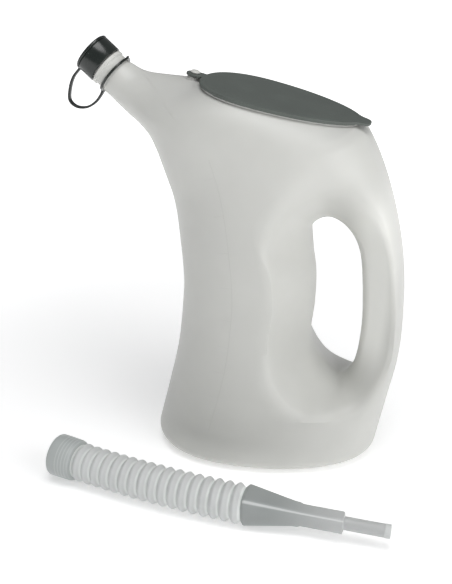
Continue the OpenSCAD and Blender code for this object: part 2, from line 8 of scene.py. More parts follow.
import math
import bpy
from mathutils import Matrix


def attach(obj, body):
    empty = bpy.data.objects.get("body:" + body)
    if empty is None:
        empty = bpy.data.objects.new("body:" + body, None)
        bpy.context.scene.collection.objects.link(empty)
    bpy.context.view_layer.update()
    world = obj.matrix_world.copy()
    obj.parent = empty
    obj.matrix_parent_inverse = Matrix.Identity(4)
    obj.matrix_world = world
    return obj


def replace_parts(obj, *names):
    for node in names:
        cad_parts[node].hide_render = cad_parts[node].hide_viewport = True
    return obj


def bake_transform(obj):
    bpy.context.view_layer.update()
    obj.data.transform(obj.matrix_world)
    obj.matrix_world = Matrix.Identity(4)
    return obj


bl_info = {
    "name": "Measuring jug",
    "version": (1, 0, 0),
    "blender": (4, 5, 0),
    "location": "3D View > Sidebar > Jug",
    "description": "Builds the jug, its lid, cap, tether and flexible spout as surfaces",
    "category": "Add Mesh",
}

import bpy
import numpy as np
from mathutils import Vector

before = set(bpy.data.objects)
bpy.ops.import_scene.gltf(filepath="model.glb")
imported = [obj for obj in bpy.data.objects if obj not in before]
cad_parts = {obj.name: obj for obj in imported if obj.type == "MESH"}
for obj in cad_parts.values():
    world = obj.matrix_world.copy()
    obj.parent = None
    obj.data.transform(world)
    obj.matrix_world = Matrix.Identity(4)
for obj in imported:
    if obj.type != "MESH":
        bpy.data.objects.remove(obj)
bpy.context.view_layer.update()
MM = 0.001


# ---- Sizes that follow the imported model, in millimetres and degrees

BASE_L, BASE_W, BASE_EDGE, WALL = 184.0, 131.0, 12.0, 2.0
WAIST_Z, WAIST_FRONT, WAIST_BACK, WAIST_W, SHOULDER_W = 135.0, 64.5, 107.0, 123.0, 108.0
BEND_R, BEND_A, BEND_SCALE = 254.5, 50.0, 200.0
LIP_DEPTH, LIP_WIDTH = 9.0, 7.0
SPOUT_R, SPOUT_D, NECK_BORE, NECK_D = 206.5, 29.0, 24.0, 28.4
NECK_PLAIN, BEAD_D, THREAD_D, THREAD_L = 12.0, 30.2, 26.0, 12.6
RIM_X, RIM_Z, RIM_TILT = 6.0, 282.0, 11.6
RIM_FRONT, RIM_BACK, RIM_LEAD, RIM_W = 43.0, 74.0, 15.0, 80.0
RIM_H, RIM_LAND, LID_T, LID_OVER, TAB_L, TAB_W = 1.8, 2.8, 1.8, 2.0, 7.0, 17.0
STUD_OFF, STUD_D, STUD_HEAD, EAR_T = 7.0, 4.6, 7.4, 1.8
CAP_D, CAP_BORE, SEAT_D = 31.0, 28.2, 28.6
RING_T, RING_D, STRAP_W, STRAP_T, STRAP_REACH = 1.8, 32.4, 4.0, 1.8, 42.6
COLLAR_D, COLLAR_BORE, COLLAR_L = 33.0, 28.8, 20.4
RING_N, RING_PITCH, CREST_D, GROOVE_D, BELLOWS_WALL = 17, 8.0, 30.0, 22.8, 1.0
REDUCER_W, REDUCER_L, NOZZLE_W, NOZZLE_L = 24.6, 41.0, 13.0, 30.0
TIP_D, TIP_BORE, TIP_L, BELLOWS_A = 9.8, 7.0, 33.0, 10.3
FIT_GAP, SOFT_GAP = 0.2, 0.3
HEEL_Z, BELLY_Z = 0.37 * WAIST_Z, 0.68 * WAIST_Z

GRIP = np.array([
    (76, 138), (72, 173), (62, 192), (47, 199.5), (34, 190.5), (35.5, 171), (38.5, 150),
    (38.5, 126), (36.5, 98), (43, 83), (52, 73), (62.5, 67), (72.5, 80), (76.5, 108)], float)
CREASE = np.array([
    (103, 142, 5), (95, 192, 8), (78, 222, 20), (52, 233, 26), (26, 218, 18),
    (13.5, 190, 7), (18, 167, 5), (19.5, 140, 5), (17, 112, 6), (21, 82, 9), (39, 58, 13),
    (65, 53.5, 16), (88, 60, 12), (102.5, 90, 7)], float)


# ---- General curves

def station(angle):
    """Place along the body for an angle of the bend: heights go on as arc length."""
    return WAIST_Z + np.radians(angle) * BEND_SCALE


def polar(r, angle):
    """Point (x, z) at a distance and an angle from the bend centre."""
    a = np.radians(angle)
    return r * np.cos(a) - BEND_R, WAIST_Z + r * np.sin(a)


def curve(knots, s, column=1):
    """Cubic through knots, each knot's slope being that of the line through its neighbours."""
    k = np.asarray(knots, float)
    x, y = k[:, 0], k[:, column]
    index = np.arange(len(x))
    low, high = np.maximum(index - 1, 0), np.minimum(index + 1, len(x) - 1)
    slope = (y[high] - y[low]) / (x[high] - x[low])
    i = np.clip(np.searchsorted(x, s) - 1, 0, len(x) - 2)
    h = x[i + 1] - x[i]
    t = np.clip((s - x[i]) / h, 0, 1)
    return ((2 * t**3 - 3 * t**2 + 1) * y[i] + (t**3 - 2 * t**2 + t) * h * slope[i]
            + (3 * t**2 - 2 * t**3) * y[i + 1] + (t**3 - t**2) * h * slope[i + 1])


def loop(knots, t):
    """Closed smooth curve through knots, each piece a cubic of the four nearest knots."""
    n = len(knots)
    i = np.floor(t).astype(int)
    f = (t - i)[..., None]
    a, b, c, d = (knots[(i + o) % n] for o in (-1, 0, 1, 2))
    return 0.5 * (2 * b + (c - a) * f + (2 * a - 5 * b + 4 * c - d) * f**2
                  + (3 * b - a - 3 * c + d) * f**3)


def bow(u, p):
    """Half height of a superellipse of power p at u, which runs from -1 to 1."""
    return np.maximum(0, 1 - np.minimum(1, np.abs(u)) ** p) ** (1 / p)


def soft_min(a, b, k):
    """Smaller of a and b, rounded off where they differ by less than k."""
    h = np.maximum(k - np.abs(a - b), 0) / k
    return np.minimum(a, b) - h * h * k / 4


def smooth(t):
    """Ramp from 0 to 1 with level ends."""
    t = np.clip(t, 0, 1)
    return t * t * (3 - 2 * t)


# ---- Opening of the lid: an egg in a plane that slopes to the handle

def egg(a, inset):
    """Half width of the egg at a: two superellipse halves that meet at the widest place."""
    u, w = a + RIM_LEAD, RIM_W / 2 - inset
    return np.where(u < 0, w * bow(u / (RIM_FRONT - inset), 2.3),
                    w * bow(u / (RIM_BACK - inset), 1.9))


def egg_ends(inset):
    return inset - RIM_FRONT - RIM_LEAD, RIM_BACK - RIM_LEAD - inset


def egg_at(u, inset):
    """Place along the egg for u from 0 (handle end) to 1, closer together at both ends."""
    start, end = egg_ends(inset)
    return (end + start) / 2 + (end - start) / 2 * np.cos(np.pi * u)


TILT_COS, TILT_SIN = math.cos(math.radians(RIM_TILT)), math.sin(math.radians(RIM_TILT))
RIM_OFF = (RIM_X + BEND_R) * TILT_SIN + (RIM_Z - WAIST_Z) * TILT_COS


def rim_point(a):
    return RIM_X + a * TILT_COS, RIM_Z - a * TILT_SIN


def rim_angle(a):
    x, z = rim_point(a)
    return np.degrees(np.arctan2(z - WAIST_Z, x + BEND_R))


def rim_dist(angle):
    """Distance of the opening's plane from the bend centre, in the direction of an angle."""
    return RIM_OFF / np.sin(np.radians(angle + RIM_TILT))


def lid_place(p):
    """Points of the lid's frame (along, across, up) as points of the jug's frame."""
    a, y, h = np.moveaxis(np.asarray(p, float), -1, 0)
    return np.stack([RIM_X + a * TILT_COS + h * TILT_SIN, y,
                     RIM_Z - a * TILT_SIN + h * TILT_COS], -1)


# ---- Body: half widths over the middle plane, from its outlines and sections

FRONT_R, BACK_R = BEND_R - WAIST_FRONT, BEND_R + WAIST_BACK
FRONT_KNOTS = [
    (0, BEND_R - BASE_L / 2), (HEEL_Z, FRONT_R - 14), (BELLY_Z, FRONT_R - 4.5), (WAIST_Z, FRONT_R),
    (station(12), FRONT_R + 2), (station(24), FRONT_R + 6.8), (station(36), FRONT_R + 12.3),
    (station(43), 0.26 * (FRONT_R + 12.3) + 0.74 * (SPOUT_R - SPOUT_D / 2)),
    (station(BEND_A), SPOUT_R - SPOUT_D / 2)]
SECTION_KNOTS = [
    (0, BASE_W / 2, 0.2, 2.2), (HEEL_Z, BASE_W / 2 - 1, 0.2, 2.4), (WAIST_Z, WAIST_W / 2, 0.2, 2.4),
    (station(12), WAIST_W / 2 - 1.5, 0.14, 2.4), (station(22), SHOULDER_W / 2 + 3, 0, 2.4),
    (station(30), SHOULDER_W / 2, 0, 2.4), (station(36), SHOULDER_W / 2 - 9, 0, 2.2),
    (station(42), SHOULDER_W / 2 - 27, 0, 2), (station(46.5), SPOUT_D / 2 + 4, 0, 2),
    (station(BEND_A), SPOUT_D / 2, 0, 2)]


def back_knots(w, inset):
    end = rim_angle(egg_ends(inset)[1])
    return [(0, BEND_R + BASE_L / 2 - w), (HEEL_Z, BACK_R - 6.5 - w), (BELLY_Z, BACK_R - w),
            (WAIST_Z, BACK_R - w), (station(12), BACK_R - 4 - w),
            (station(end) - 5, BACK_R - 10.5 - w), (station(end), rim_dist(end))]


def horn_knots(w, inset):
    start = rim_angle(egg_ends(inset)[0])
    r, top = rim_dist(start), SPOUT_R + SPOUT_D / 2 - w
    return [(station(start), r),
            (station(start + 0.435 * (BEND_A - start)), top + 0.408 * (r - top - w)),
            (station(start + 0.718 * (BEND_A - start)), top + 0.106 * (r - top - w)),
            (station(BEND_A), top)]


def back_at(s, w, inset):
    """Distance of the body's back. Over the opening it is where the section would close,
    so that the skin ends at the opening's edge with the section's own slope."""
    a = np.degrees((s - WAIST_Z) / BEND_SCALE)
    low = curve(FRONT_KNOTS, s) + w
    half = curve(SECTION_KNOTS, s) - w
    p = curve(SECTION_KNOTS, s, 3)
    lean = np.maximum(a, 1)
    along = (polar(rim_dist(lean), lean)[0] - RIM_X) / TILT_COS
    share = np.minimum(1, egg(along, inset) / half)
    closed = low + 2 * (rim_dist(lean) - low) / (1 + (1 - share**p) ** (1 / p))
    start, end = egg_ends(inset)
    return np.where(a <= rim_angle(end), curve(back_knots(w, inset), s),
                    np.where(a >= rim_angle(start), curve(horn_knots(w, inset), s), closed))


def edge_cut(z, w):
    """How far a quarter circle sets the outline in at the round bottom edge."""
    e = BASE_EDGE - w
    g = np.maximum(0, e - (z - w))
    return e - np.sqrt(np.maximum(0, e * e - g * g))


def bent(x, z):
    up = z > WAIST_Z
    return (np.where(up, np.hypot(x + BEND_R, z - WAIST_Z), x + BEND_R),
            np.where(up, station(np.degrees(np.arctan2(z - WAIST_Z, x + BEND_R))), z))


def unbent(r, s):
    x, z = polar(r, np.degrees((s - WAIST_Z) / BEND_SCALE))
    return np.where(s > WAIST_Z, x, r - BEND_R), np.where(s > WAIST_Z, z, s)


def skin(x, z, w, inset):
    """Half width of the body over a point of the middle plane: a superellipse between
    the front and the back outline, narrower towards the handle."""
    r, s = bent(x, z)
    cut = edge_cut(z, w)
    low = curve(FRONT_KNOTS, s) + w + cut
    high = back_at(s, w, inset) - cut
    u = (2 * r - low - high) / (high - low)
    return ((curve(SECTION_KNOTS, s) - w - cut) * (1 - curve(SECTION_KNOTS, s, 2) * u)
            * bow(u, curve(SECTION_KNOTS, s, 3)))


def outline(t, w, inset):
    """Outline of the skin in the middle plane at t: handle side 0 to 2, opening 2 to 4,
    spout's top 4 to 5, mouth 5 to 6, front 6 to 10, base 10 to 12, back 12 to 14."""
    start, end = egg_ends(inset)
    first, last = rim_angle(end), rim_angle(start)

    def back_point(a):
        return polar(back_at(station(a), w, inset), a)

    def low_point(z, back):
        cut = edge_cut(z, w)
        r = back_at(z, w, inset) - cut if back else curve(FRONT_KNOTS, z) + w + cut
        return r - BEND_R, z

    foot = np.full(1, float(w))
    foot_a, foot_b = low_point(foot, False)[0][0], low_point(foot, True)[0][0]
    front_a = BEND_A * np.clip(8 - t, 0, 2) / 2
    parts = [
        (t <= 2, back_point(first * np.clip(t, 0, 2) / 2)),
        (t <= 4, rim_point(egg_at(np.clip(t - 2, 0, 2) / 2, inset))),
        (t <= 5, back_point(last + (BEND_A - last) * np.clip(t - 4, 0, 1))),
        (t <= 6, polar(SPOUT_R + (SPOUT_D / 2 - w) * np.cos(np.pi * (t - 5)), BEND_A)),
        (t <= 8, polar(curve(FRONT_KNOTS, station(front_a)) + w, front_a)),
        (t <= 9, low_point(WAIST_Z - (WAIST_Z - HEEL_Z) * (t - 8), False)),
        (t <= 10, low_point(w + (HEEL_Z - w) * np.clip(10 - t, 0, 1) ** 1.7, False)),
        (t <= 12, ((foot_a + foot_b) / 2 - (foot_b - foot_a) / 2 * np.cos(np.pi / 2 * (t - 10)),
                   np.full_like(t, w))),
        (t <= 13, low_point(w + (HEEL_Z - w) * np.clip(t - 12, 0, 1) ** 1.7, True)),
        (t > 13, low_point(HEEL_Z + (WAIST_Z - HEEL_Z) * (t - 13), True))]
    tests = [test for test, _ in parts]
    return (np.select(tests, [np.broadcast_to(p[0], t.shape) for _, p in parts]),
            np.select(tests, [np.broadcast_to(p[1], t.shape) for _, p in parts]))


def half_skin(t, w, inset, hollow_n, side_n):
    """Near half of a skin. Columns run from the grip opening over the crease to the
    outline. In the hollow the half width is a quarter ellipse for the lip plus a power of
    the distance; beyond the crease it is that slope or the body's own width, the smaller."""
    c = loop(CREASE, t)
    edge_x, edge_z, k = c[:, 0:1], c[:, 1:2], c[:, 2:3]
    hole = loop(GRIP, t)
    hx, hz = hole[:, 0:1], hole[:, 1:2]
    span = np.hypot(edge_x - hx, edge_z - hz)
    start_x, start_z = hx + (edge_x - hx) * w / span, hz + (edge_z - hz) * w / span
    depth = skin(edge_x, edge_z, 0, 0) - LIP_DEPTH
    lip_end = LIP_DEPTH - w / 2

    g = (np.arange(hollow_n) / hollow_n)[None] ** 1.6
    x1, z1 = start_x + (edge_x - start_x) * g, start_z + (edge_z - start_z) * g
    d = (span - w) * g
    lip = np.sqrt(1 - (1 - np.minimum(1, d / LIP_WIDTH)) ** 2) * lip_end
    y1 = soft_min(skin(x1, z1, w, inset), lip + depth * (d / span) ** 1.15, k)
    y1[:, 0] = 0

    out_x, out_z = outline(t, w, inset)
    r0, s0 = bent(edge_x, edge_z)
    r1, s1 = bent(out_x[:, None], out_z[:, None])
    g = 1 - (1 - np.arange(side_n + 1) / side_n)[None] ** 1.8
    r, s = r0 + (r1 - r0) * g, s0 + (s1 - s0) * g
    top = back_at(s, w, inset) - SPOUT_D / 2 * (1 - g)
    x2, z2 = unbent(np.where(((t > 4) & (t < 6))[:, None] & (g < 1), np.minimum(r, top), r), s)
    ramp = lip_end + depth * (((span - w) / span) ** 1.15
                              + 1.15 * np.hypot(x2 - edge_x, z2 - edge_z) / span)
    y2 = skin(x2, z2, w, inset)
    over = (t >= 2) & (t <= 4)
    y2[over, -1] = egg(egg_at((t[over] - 2) / 2, inset), inset)
    y2 = soft_min(y2, ramp, k)
    y2[(t <= 2) | ((t >= 4) & (t <= 5)) | ((t >= 6) & (t <= 10)) | (t >= 12), -1] = 0
    x, y, z = (np.concatenate(pair, 1) for pair in ((x1, x2), (y1, y2), (z1, z2)))
    return np.stack([x, -y, z], -1)


# ---- Meshes

class Shell:
    """Collects grids of points and makes one closed mesh of them."""

    def __init__(self):
        self.points, self.faces, self.uvs, self.count = [], [], [], 0

    def grid(self, p, flip=False, wrap=False, uv=None):
        """Quads between neighbouring points of a grid. wrap joins the last row to the first."""
        p = np.asarray(p, float)
        if wrap:
            p = np.concatenate([p, p[:1]])
            uv = None if uv is None else np.concatenate([uv, uv[:1]])
        rows, cols = p.shape[:2]
        i = self.count + np.arange(rows * cols).reshape(rows, cols)
        quads = np.stack([i[:-1, :-1], i[:-1, 1:], i[1:, 1:], i[1:, :-1]], -1).reshape(-1, 4)
        self.faces.append(quads[:, ::-1] if flip else quads)
        self.points.append(p.reshape(-1, 3))
        self.uvs.append(np.zeros((rows * cols, 2)) if uv is None else uv.reshape(-1, 2))
        self.count += rows * cols
        return self

    def both(self, p, flip=False, wrap=False, uv=None):
        """A grid of the near half and its mirror image on the far half."""
        far = np.asarray(p) * (1, -1, 1)
        return self.grid(p, flip, wrap, uv).grid(far, not flip, wrap, uv)

    def make(self, name, sharp=40.0, join=2e-6):
        """Object of the collected grids, with equal points joined and flat quads dropped."""
        points = np.concatenate(self.points) * MM
        faces = np.concatenate(self.faces)
        uv = np.concatenate(self.uvs)
        _, first, index = np.unique(np.round(points / join).astype(np.int64), axis=0,
                                    return_index=True, return_inverse=True)
        index = index.reshape(-1)
        merged = index[faces]
        # Quads with four points of their own stay quads; one joined pair makes a triangle
        same = merged == np.roll(merged, -1, axis=1)
        crossed = (merged[:, 0] == merged[:, 2]) | (merged[:, 1] == merged[:, 3])
        whole, one = ~same.any(1) & ~crossed, same.sum(1) == 1
        order = (np.argmax(same[one], axis=1)[:, None] + np.arange(1, 4)) % 4
        rows = np.arange(one.sum())[:, None]
        quads, triangles = merged[whole], merged[one][rows, order]
        corner_uv = [uv[faces[whole]].reshape(-1, 2), uv[faces[one][rows, order]].reshape(-1, 2)]
        mesh = bpy.data.meshes.new(name)
        mesh.from_pydata(points[first].tolist(), [], quads.tolist() + triangles.tolist())
        layer = mesh.uv_layers.new(name="Surface")
        layer.data.foreach_set("uv", np.concatenate(corner_uv).astype(np.float32).ravel())
        mesh.polygons.foreach_set("use_smooth", np.ones(len(mesh.polygons), bool))
        mesh.set_sharp_from_angle(angle=math.radians(sharp))
        mesh.validate()
        obj = bpy.data.objects.new(name, mesh)
        bpy.context.scene.collection.objects.link(obj)
        return obj


def turned(profile, place, segments=96):
    """Surface of revolution: a profile of (radius, height) carried round the local Z axis."""
    a = np.linspace(0, 2 * np.pi, segments + 1)
    a[-1] = 0
    profile = np.asarray(profile, float)
    r, h = profile[:, 0][:, None], profile[:, 1][:, None]
    return place(np.stack([r * np.cos(a), r * np.sin(a), h + 0 * a], -1))


def rounded(profile, radius, steps=4, closed=False):
    """Profile with each corner replaced by a short curve that starts and ends a radius
    away, or half of the way to the next corner: a quadratic of the three points."""
    p = np.asarray(profile, float)
    n = len(p)
    out = [] if closed else [p[0]]
    for i in range(0 if closed else 1, n if closed else n - 1):
        a, b, c = p[i - 1], p[i], p[(i + 1) % n]
        da, dc = np.linalg.norm(a - b), np.linalg.norm(c - b)
        start = b + (a - b) * min(radius, da / 2) / da
        end = b + (c - b) * min(radius, dc / 2) / dc
        t = np.linspace(0, 1, steps + 1)[:, None]
        out.extend((1 - t) ** 2 * start + 2 * t * (1 - t) * b + t**2 * end)
    if not closed:
        out.append(p[-1])
    return np.array(out)


# ---- Pieces, in the frames that they are made in

MOUTH = polar(SPOUT_R, BEND_A)
SPOUT_COS, SPOUT_SIN = math.cos(math.radians(BEND_A)), math.sin(math.radians(BEND_A))
NECK_END = NECK_PLAIN + THREAD_L
LID_FOOT = RIM_H + SOFT_GAP
LID_TOP = LID_FOOT + LID_T
HINGE_A = egg_ends(0)[0] - LID_OVER - FIT_GAP
STUD_A = egg_ends(0)[0] - LID_OVER - STUD_OFF
CAP_FOOT, CAP_ROOF = NECK_PLAIN + SOFT_GAP, NECK_END + FIT_GAP
CAP_SEAT = CAP_ROOF + 0.6
CAP_END = CAP_SEAT + RING_T + 2 * SOFT_GAP + 0.4


def spout_place(p):
    """Points of the spout's frame (out from the bend, across, along the spout)."""
    u, y, v = np.moveaxis(np.asarray(p, float), -1, 0)
    return np.stack([MOUTH[0] + u * SPOUT_COS - v * SPOUT_SIN, y,
                     MOUTH[1] + u * SPOUT_SIN + v * SPOUT_COS], -1)


def thread_ridge(root, crest, start, pitch, turns, inward=False, width=1.5, steps=90):
    """Helical ridge: a low trapezoid carried round and up, sunk to nothing at both ends."""
    f = np.linspace(0, 1, int(steps * turns) + 1)[:, None]
    a = 2 * np.pi * turns * f
    rise = smooth(f * turns / 0.25) * smooth((1 - f) * turns / 0.25)
    across = np.array([-0.5, -0.24, 0.24, 0.5])[None] * width
    bump = np.array([0, 1, 1, 0])[None] * rise
    sink = -0.3 if not inward else 0.3
    r = root + sink * (1 - bump) + (crest - root) * bump
    z = start + pitch * turns * f + across
    p = np.stack([r * np.cos(a), r * np.sin(a) + 0 * z, z], -1)
    return p


def body_shell():
    """Blown body with collar, neck, thread and stud."""
    shell = Shell()
    steps = (16, 16, 40, 40, 22, 48, 22, 18, 16, 20, 26, 26, 20, 16)
    t = np.concatenate([i + np.arange(n) / n for i, n in enumerate(steps)])
    inner_t = np.concatenate([i + np.arange(n // 2) / (n // 2) for i, n in enumerate(steps)])
    outer = half_skin(t, 0, 0, 22, 34)
    inner = half_skin(inner_t, WALL, RIM_LAND, 8, 14)
    r, s = bent(outer[..., 0], outer[..., 2])
    place = np.stack([(r - curve(FRONT_KNOTS, s)) / 100, s / 100], -1)
    shell.both(outer, flip=False, wrap=True, uv=place)
    shell.both(inner, flip=True, wrap=True)

    # Collar round the opening, from the outer skin over its land to the inner skin
    rim = (t >= 2) & (t <= 4)
    u = (t[rim] - 2) / 2
    rings = []
    for share, height in ((0, 0), (0, 0.35), (0, 0.72), (0.06, 0.9), (0.2, 1), (0.8, 1),
                          (0.94, 0.9), (1, 0.72), (1, 0)):
        a_out, a_in = egg_at(u, 0), egg_at(u, RIM_LAND)
        a = a_out + (a_in - a_out) * share
        y = egg(a_out, 0) + (egg(a_in, RIM_LAND) - egg(a_out, 0)) * share
        rings.append(lid_place(np.stack([a, -y, np.full_like(a, height * RIM_H)], -1)))
    rings[0] = outer[rim, -1]
    inner_rim = (inner_t >= 2) & (inner_t <= 4)
    foot = inner[inner_rim, -1]
    rings[-1] = np.stack([np.interp(np.arange(len(u)), np.arange(len(foot)) * 2, foot[:, c])
                          for c in range(3)], -1)
    shell.both(np.stack(rings, 1))

    # Base: the outer face, and the inside of the bottom
    for half, side in ((outer[(t >= 10) & (t <= 12), -1], False),
                       (inner[(inner_t >= 10) & (inner_t <= 12), -1], True)):
        across = np.linspace(-1, 1, 25)[None, :, None]
        p = half[:, None] * np.array([1, 0, 1]) + across * half[:, None] * np.array([0, -1, 0])
        shell.grid(p, flip=side)

    # Neck with its bead, lip and bore, closed inside by the bore's foot
    neck = rounded([
        (SPOUT_D / 2, 0), (NECK_D / 2, 0.5), (NECK_D / 2, NECK_PLAIN - 4),
        (BEAD_D / 2, NECK_PLAIN - 3.2), (BEAD_D / 2, NECK_PLAIN - 0.8),
        (NECK_D / 2 - 0.6, NECK_PLAIN - 0.2), (THREAD_D / 2, NECK_PLAIN + 0.4),
        (THREAD_D / 2, NECK_END), (NECK_BORE / 2, NECK_END), (NECK_BORE / 2, 2),
        (SPOUT_D / 2 - WALL, 0)], 0.5, 3)
    shell.grid(turned(neck, spout_place, 96), flip=True)
    ridge = thread_ridge(THREAD_D / 2, THREAD_D / 2 + 0.9, NECK_PLAIN + 2.6, 4, 1.9)
    shell.grid(spout_place(ridge), flip=True)

    # Stud that the lid's ear hangs on
    seat, head = LID_TOP - EAR_T - SOFT_GAP, LID_TOP + SOFT_GAP
    stud = rounded([
        (STUD_HEAD / 2 + 3.4, -3.2), (STUD_HEAD / 2 + 1.9, seat - 1.6),
        (STUD_HEAD / 2 + 1.2, seat), (STUD_D / 2, seat), (STUD_D / 2, head),
        (STUD_HEAD / 2, head), (STUD_HEAD / 2, head + 0.8), (STUD_HEAD / 2 - 1.2, head + 1.8),
        (0, head + 2)], 0.7, 4)
    shell.grid(turned(stud, lambda p: lid_place(p + (STUD_A, 0, 0)), 48), flip=True)
    return shell


def lid_shell():
    """Lid and ear as one moulding: egg rings from the middle of the top over the edge to
    the middle of the underside, each ring an egg with its own inset and height."""
    shell = Shell()
    n = 110
    u = np.linspace(0, 1, n + 1)
    over = -LID_OVER
    plug = RIM_LAND + 0.4
    middle = RIM_W / 2 - 0.01
    edge = rounded([
        (over + 5, LID_TOP - 0.35), (over + 3.4, LID_TOP - 0.35), (over + 2.4, LID_TOP),
        (over, LID_TOP), (over, LID_FOOT - 0.8), (over + 1.3, LID_FOOT - 0.8),
        (over + 1.3, LID_FOOT), (plug, LID_FOOT), (plug, FIT_GAP),
        (plug + 1.4, FIT_GAP), (plug + 1.4, LID_FOOT)], 0.6, 4)
    rows = np.concatenate([
        np.stack([np.linspace(middle, over + 6, 12), np.full(12, LID_TOP - 0.35)], -1),
        edge, np.stack([np.linspace(plug + 3, middle, 8), np.full(8, LID_FOOT)], -1)])
    rings = []
    for inset, height in rows:
        a = egg_at(u, inset)
        y = egg(a, inset)
        if inset >= middle:
            y = y * 0
        # The skirt ends before the hinge, and the finger tab grows out of the edge
        skirt = smooth((a + 44) / 8)
        h = np.where(inset < plug - 0.5, np.maximum(height, LID_FOOT - 0.8 * skirt), height)
        tab = np.clip(1 - (inset - over) / 5, 0, 1) / (1 + (np.abs(y) / (TAB_W / 2)) ** 9)
        grow = tab * np.where(a > 0, TAB_L, 0)
        lift = np.where((grow > 0.5) & (h < LID_FOOT), LID_FOOT - h, 0)
        rings.append(np.stack([a + grow, -y, h + lift], -1))
    shell.both(lid_place(np.stack(rings, 0)), flip=True)

    # Ear: rings round the stud's hole, round behind and square towards the hinge
    angle = np.linspace(0, 2 * np.pi, 97)
    angle[-1] = 0
    half = STUD_OFF - 0.6
    reach = HINGE_A - FIT_GAP - STUD_A
    square = np.minimum(reach / np.maximum(np.cos(angle), 1e-6),
                        half / np.maximum(np.abs(np.sin(angle)), 1e-6))
    out = np.where(np.cos(angle) > 0, np.minimum(square, np.hypot(reach, half) - 0.8), half)
    hole = STUD_D / 2 + SOFT_GAP
    top, foot = LID_TOP, LID_TOP - EAR_T
    rings = []
    for share, height in rounded([(0, foot), (0, top - 0.3), (0.08, top), (0.92, top),
                                  (1, top - 0.3), (1, foot), (0, foot)], 0.15, 3)[:]:
        r = hole + (out - hole) * share
        rings.append(np.stack([STUD_A + r * np.cos(angle), r * np.sin(angle),
                               np.full_like(r, height)], -1))
    shell.grid(lid_place(np.stack(rings, 0)), flip=False)

    # Living hinge: a thin strip between the ear and the lid's edge, at the top
    a = np.linspace(HINGE_A - 1.2, HINGE_A + 1.6, 15)
    thick = 0.55 + 0.5 * (np.abs(a - HINGE_A) / 1.4) ** 2
    wide = np.full_like(a, half - 0.7)
    corners = [(-1, 0), (1, 0), (1, -1), (-1, -1), (-1, 0)]
    strip = np.stack([np.stack([a, wide * side, LID_TOP - 0.06 + thick * down], -1)
                      for side, down in corners], 1)
    shell.grid(lid_place(strip), flip=False)
    for end, turn in ((0, False), (-1, True)):
        cap = strip[end][[0, 1, 3, 2]].reshape(2, 2, 3)
        shell.grid(lid_place(cap), flip=turn)
    return shell


def cap_shell():
    """Screw cap: a turned profile, with a plug that fits into the neck's bore."""
    shell = Shell()
    plug = NECK_BORE / 2 - FIT_GAP
    profile = rounded([
        (0, CAP_ROOF), (plug - 1.2, CAP_ROOF), (plug - 1.2, CAP_ROOF - 3),
        (plug - 0.3, CAP_ROOF - 3), (plug, CAP_ROOF - 2.4), (plug, CAP_ROOF),
        (CAP_BORE / 2, CAP_ROOF), (CAP_BORE / 2, CAP_FOOT), (CAP_D / 2, CAP_FOOT),
        (CAP_D / 2, CAP_SEAT), (SEAT_D / 2, CAP_SEAT), (SEAT_D / 2, CAP_END - 0.4),
        (SEAT_D / 2 + 0.5, CAP_END - 0.4), (SEAT_D / 2 + 0.5, CAP_END - 0.1),
        (SEAT_D / 2 - 0.4, CAP_END), (0, CAP_END)], 0.45, 3)
    shell.grid(turned(profile, spout_place, 120), flip=True)
    return shell


def tether_shell():
    """Tether: neck ring, looped strap of rounded rectangular section and cap ring."""
    shell = Shell()
    foot, inside = 0.13 * NECK_PLAIN, NECK_D / 2 + FIT_GAP
    ring_z = CAP_SEAT + SOFT_GAP
    ring_in, ring_out = SEAT_D / 2 + SOFT_GAP, CAP_D / 2 + 0.2
    for a, b, z in ((inside, RING_D / 2, foot), (ring_in, ring_out, ring_z)):
        section = rounded([(a, z), (b, z), (b, z + RING_T), (a, z + RING_T)], 0.5, 4, True)
        section = np.concatenate([section, section[:1]])
        shell.grid(turned(section, spout_place, 96), flip=True)

    # The strap's knots, as shares of its reach past the neck ring and of its rise
    free, rise = STRAP_REACH - RING_D / 2, ring_z - foot
    shares = [(1, 0.22, 0), (2, 0.49, 0.01), (3, 0.79, 0.14), (4, 1, 0.41), (5, 1, 0.71),
              (6, 0.735, 0.917), (7, 0.37, 1 + (RING_T / 2 + 0.3) / rise)]
    knots = [(0, 0.8 - RING_D / 2, foot + RING_T / 2),
             *((i, -RING_D / 2 - out * free, foot + up * rise) for i, out, up in shares),
             (8, 0.6 - ring_out, ring_z + RING_T / 2)]
    t = np.linspace(0, 8, 121)
    path = np.stack([curve(knots, t), curve(knots, t, 2)], -1)
    ahead = np.gradient(path, axis=0)
    ahead /= np.linalg.norm(ahead, axis=1)[:, None]
    side = np.stack([-ahead[:, 1], ahead[:, 0]], -1)
    # Section: superellipse, wider and thicker at the root on the neck ring
    turn = np.linspace(0, 2 * np.pi, 21)
    turn[-1] = 0
    c, s = np.cos(turn), np.sin(turn)
    wide = np.sign(c) * np.abs(c) ** 0.5
    thick = np.sign(s) * np.abs(s) ** 0.5
    root = np.exp(-((np.linalg.norm(path - path[0], axis=1) / 3.2) ** 2))[:, None]
    tip = np.exp(-((np.linalg.norm(path - path[-1], axis=1) / 3.0) ** 2))[:, None]
    half_t = STRAP_T / 2 * (1 + 0.3 * root)
    half_w = STRAP_W / 2 * (1 + 0.6 * root + 0.4 * tip)
    p = np.stack([path[:, :1] + side[:, :1] * half_t * thick, half_w * wide,
                  path[:, 1:] + side[:, 1:] * half_t * thick], -1)
    shell.grid(spout_place(p), flip=False)

    # Small knob on the neck ring's far side
    ball = np.linspace(0, np.pi, 13)
    profile = np.stack([1.5 * np.sin(ball), RING_T / 2 * 1.05 * -np.cos(ball)], -1)
    shell.grid(turned(profile, lambda q: spout_place(
        q * (1.25, 1, 1) + (RING_D / 2 + 0.4, 0, foot + RING_T / 2)), 24), flip=True)
    return shell


